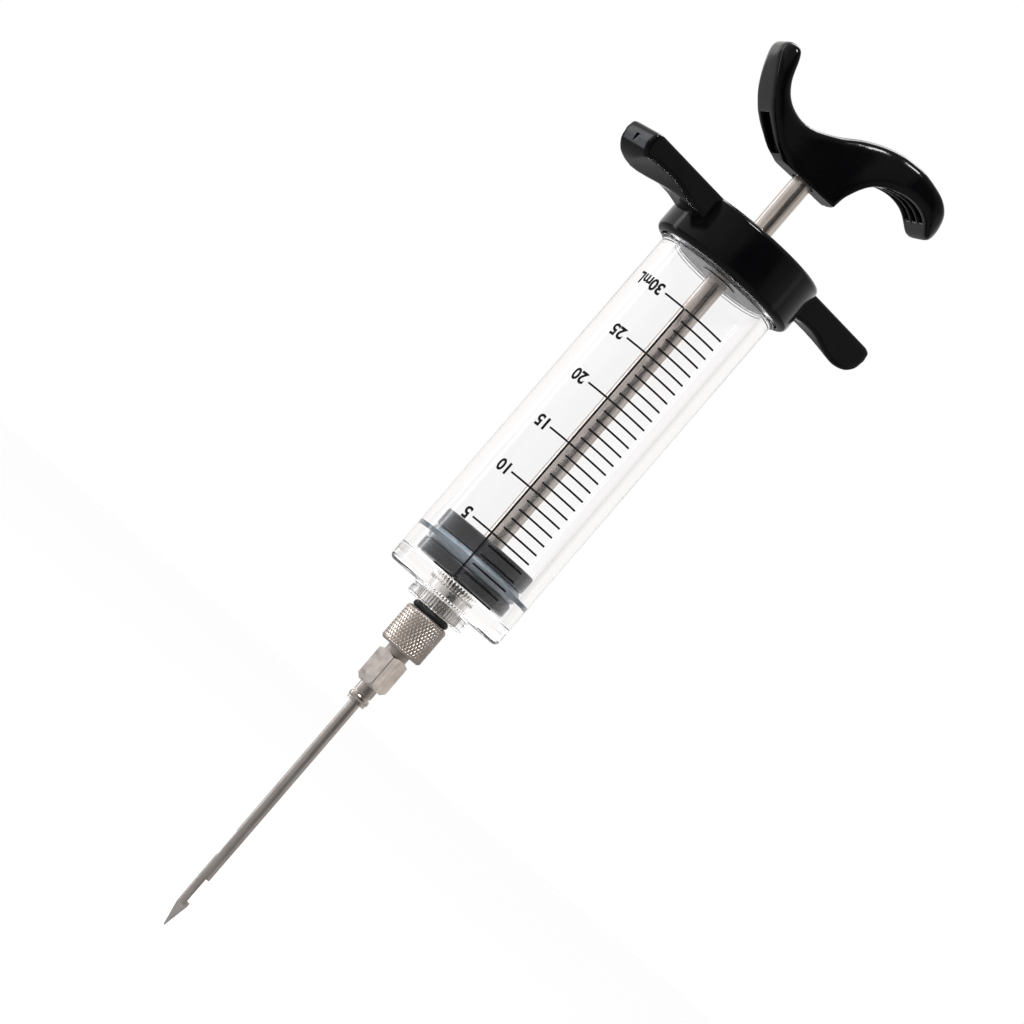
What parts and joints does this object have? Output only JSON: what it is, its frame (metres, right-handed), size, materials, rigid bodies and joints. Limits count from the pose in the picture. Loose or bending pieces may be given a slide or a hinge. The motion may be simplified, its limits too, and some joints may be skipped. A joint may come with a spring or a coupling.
{
  "type": "meat injector",
  "caption": "Hand meat injector: clear graduated barrel, two-wing finger cap, sliding plunger with an S-shaped handle, and a screw-on needle with side openings.",
  "frame": {"origin": "on the barrel axis at the piston's front face with the plunger pushed in, 0.8 mm above the barrel's inner floor", "axes": "+Z along the barrel axis towards the handle, with the needle pointing along -Z; X along the cap's two finger wings"},
  "size_m": [0.077, 0.0342, 0.2191],
  "materials": {
    "clear_plastic": "clear, polished",
    "black_plastic": "black, high gloss",
    "piston_plastic": "near-black, satin gloss",
    "print_ink": "black screen print",
    "nickel": "nickel plate, softly polished",
    "steel": "stainless, fine drawn finish",
    "silicone": "translucent blue-grey silicone",
    "black_rubber": "black nitrile rubber",
    "brass": "turned brass"
  },
  "bodies": {
    "barrel": {"barrel": "clear_plastic", "scale_print": "print_ink", "outlet_insert": "nickel"},
    "seal": {"piston_seal": "silicone"},
    "plunger": {"plunger_rod": "steel", "handle": "black_plastic", "handle_insert": "brass", "rear_disc": "piston_plastic", "front_disc": "piston_plastic", "piston_core": "piston_plastic", "piston_washer": "steel", "piston_nut": "steel"},
    "guide": {"rod_guide": "piston_plastic"},
    "cap": {"finger_cap": "black_plastic"},
    "gasket": {"outlet_gasket": "black_rubber"},
    "adaptor": {"needle_adaptor": "nickel"},
    "hub_seal": {"hub_washer": "black_rubber"},
    "needle": {"needle_hub": "nickel", "needle_tube": "steel", "needle_point": "steel"}
  },
  "joints": [
    {"name": "plunger_slide", "type": "slide", "parent": "barrel", "child": "seal", "axis": [0, 0, 1], "range_m": [0, 0.071]},
    {"name": "handle_turn", "type": "hinge", "parent": "seal", "child": "plunger", "pos_m": [0, 0, 0], "axis": [0, 0, 1], "continuous": true},
    {"name": "cap_lift", "type": "slide", "parent": "barrel", "child": "guide", "axis": [0, 0, 1], "range_m": [0, 0.0075]},
    {"name": "cap_turn", "type": "hinge", "parent": "guide", "child": "cap", "pos_m": [0, 0, 0.09], "axis": [0, 0, 1], "range_deg": [0, 1080]},
    {"name": "adaptor_drop", "type": "slide", "parent": "barrel", "child": "gasket", "axis": [0, 0, -1], "range_m": [0, 0.005]},
    {"name": "adaptor_turn", "type": "hinge", "parent": "gasket", "child": "adaptor", "pos_m": [0, 0, -0.01], "axis": [0, 0, -1], "range_deg": [0, 1800]},
    {"name": "needle_drop", "type": "slide", "parent": "adaptor", "child": "hub_seal", "axis": [0, 0, -1], "range_m": [0, 0.004]},
    {"name": "needle_turn", "type": "hinge", "parent": "hub_seal", "child": "needle", "pos_m": [0, 0, -0.02], "axis": [0, 0, -1], "range_deg": [0, 1440]}
  ],
  "couplings": [
    {"joint": "cap_turn", "follows": "cap_lift", "rad_per_m": 2513.3},
    {"joint": "adaptor_turn", "follows": "adaptor_drop", "rad_per_m": 6283.2},
    {"joint": "needle_turn", "follows": "needle_drop", "rad_per_m": 6283.2}
  ]
}
